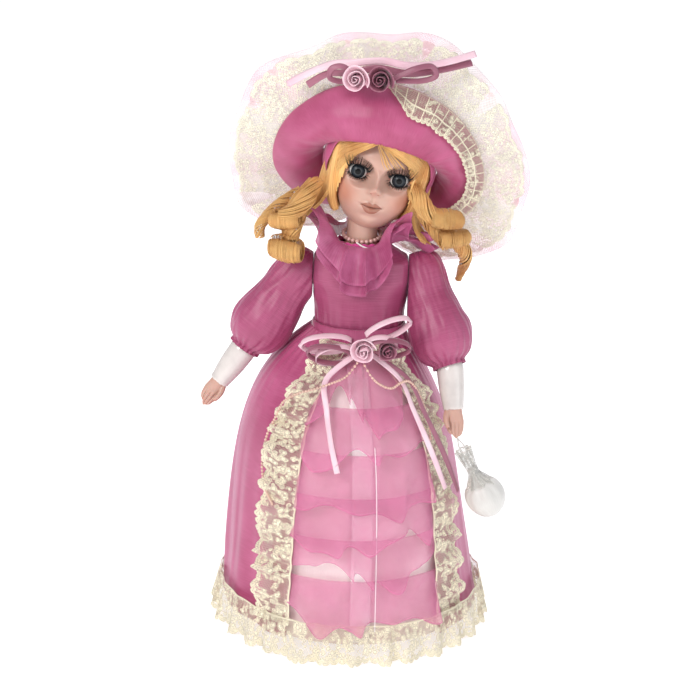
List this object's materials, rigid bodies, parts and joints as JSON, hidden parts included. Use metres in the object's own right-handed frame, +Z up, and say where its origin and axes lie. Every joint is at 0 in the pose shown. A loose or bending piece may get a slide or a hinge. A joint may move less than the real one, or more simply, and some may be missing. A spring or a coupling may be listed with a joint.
{
  "type": "porcelain doll",
  "caption": "Porcelain shoulder-head doll with a stuffed cloth body and hinged limbs, in a taffeta gown with an organza front, a picture hat with a tulle veil, and a drawstring bag.",
  "frame": {"origin": "on the floor under the middle of the doll, at the centre of the gown's hem", "axes": "+Z up along the standing doll, the face and the gown's open front towards -Y, the doll's own right hand towards -X"},
  "size_m": [0.2416, 0.214, 0.4611],
  "materials": {
    "stuffed_cloth": "undyed cotton, tightly stuffed",
    "bisque_porcelain": "matt flesh-tinted bisque, hand painted",
    "white_porcelain": "white glaze to the wrist, flesh-tinted hand",
    "pate_board": "plain board under the wig",
    "eye_glass": "glass eye with a grey-blue iris",
    "lash_hair": "black synthetic hair",
    "blonde_hair": "glossy strawberry-blonde mohair",
    "hat_satin": "magenta satin over a wire and wadding",
    "pale_tulle": "pale pink tulle net with cream lace net",
    "cream_lace": "cream cotton lace",
    "pale_satin_ribbon": "pale pink satin ribbon",
    "mauve_satin_ribbon": "dark mauve satin ribbon",
    "pink_pearl": "pale pink imitation pearls on thread",
    "peach_bead": "tiny moulded beads on thread",
    "magenta_braid": "crocheted braid",
    "pink_organza": "thin crisp organza with a sheen",
    "mauve_taffeta": "shot taffeta, magenta and mauve",
    "front_satin": "pale satin",
    "white_cotton": "white cotton with a gathered hem",
    "plum_leather": "soft plum-brown imitation leather",
    "white_satin": "white satin"
  },
  "bodies": {
    "body": {"torso": "stuffed_cloth", "shoulder_head": "bisque_porcelain", "pate": "pate_board", "eye_left": "eye_glass", "eye_right": "eye_glass", "eyelashes": "lash_hair", "wig_cap": "blonde_hair", "ringlets_left": "blonde_hair", "ringlets_right": "blonde_hair", "hat_crown": "hat_satin", "hat_brim": "hat_satin", "hat_veil": "pale_tulle", "hat_lace": "cream_lace", "hat_rose_pale": "pale_satin_ribbon", "hat_rose_mauve": "mauve_satin_ribbon", "hat_ribbon_pale": "pale_satin_ribbon", "hat_ribbon_mauve": "mauve_satin_ribbon", "necklace": "pink_pearl", "neck_braid": "magenta_braid", "collar_frill": "pink_organza", "bodice": "mauve_taffeta", "petticoat": "front_satin", "overskirt": "mauve_taffeta", "tier_1": "pink_organza", "tier_2": "pink_organza", "tier_3": "pink_organza", "tier_4": "pink_organza", "tier_5": "pink_organza", "tier_6": "pink_organza", "edge_lace_left": "cream_lace", "edge_lace_right": "cream_lace", "hem_lace": "cream_lace", "bow_pale": "pale_satin_ribbon", "bow_mauve": "mauve_satin_ribbon", "tail_pale_left": "pale_satin_ribbon", "tail_pale_right": "pale_satin_ribbon", "tail_mauve_left": "mauve_satin_ribbon", "waist_rose_pale": "pale_satin_ribbon", "waist_rose_mauve": "mauve_satin_ribbon", "bead_string_left": "peach_bead", "bead_string_right": "peach_bead"},
    "arm_right": {"cloth_arm_right": "stuffed_cloth", "sleeve_right": "mauve_taffeta"},
    "arm_left": {"cloth_arm_left": "stuffed_cloth", "sleeve_left": "mauve_taffeta"},
    "forearm_right": {"forearm_right": "white_porcelain"},
    "forearm_left": {"forearm_left": "white_porcelain"},
    "leg_right": {"cloth_leg_right": "stuffed_cloth", "shin_right": "bisque_porcelain", "pantalette_right": "white_cotton", "shoe_right": "plum_leather"},
    "leg_left": {"cloth_leg_left": "stuffed_cloth", "shin_left": "bisque_porcelain", "pantalette_left": "white_cotton", "shoe_left": "plum_leather"},
    "bag": {"bag_pouch": "white_satin", "bag_frill": "cream_lace", "bag_cord": "white_satin"}
  },
  "joints": [
    {"name": "shoulder_right", "type": "hinge", "parent": "body", "child": "arm_right", "pos_m": [-0.047, 0, 0.276], "axis": [-1, 0, 0], "range_deg": [-25, 30]},
    {"name": "shoulder_left", "type": "hinge", "parent": "body", "child": "arm_left", "pos_m": [0.047, 0, 0.276], "axis": [-1, 0, 0], "range_deg": [-2, 35]},
    {"name": "elbow_right", "type": "hinge", "parent": "arm_right", "child": "forearm_right", "pos_m": [-0.08815, -0.00774, 0.21499], "axis": [-0.829, 0, 0.5592], "range_deg": [-8, 30]},
    {"name": "elbow_left", "type": "hinge", "parent": "arm_left", "child": "forearm_left", "pos_m": [0.07012, -0.0301, 0.21247], "axis": [-0.9397, 0, -0.342], "range_deg": [0, 30]},
    {"name": "hip_right", "type": "hinge", "parent": "body", "child": "leg_right", "pos_m": [-0.017, 0, 0.186], "axis": [-1, 0, 0], "range_deg": [-14, 14]},
    {"name": "hip_left", "type": "hinge", "parent": "body", "child": "leg_left", "pos_m": [0.017, 0, 0.186], "axis": [-1, 0, 0], "range_deg": [-14, 14]},
    {"name": "bag_swing", "type": "hinge", "parent": "forearm_left", "child": "bag", "pos_m": [0.0771, -0.0493, 0.1648], "axis": [-1, 0, 0], "range_deg": [-8, 40]}
  ]
}
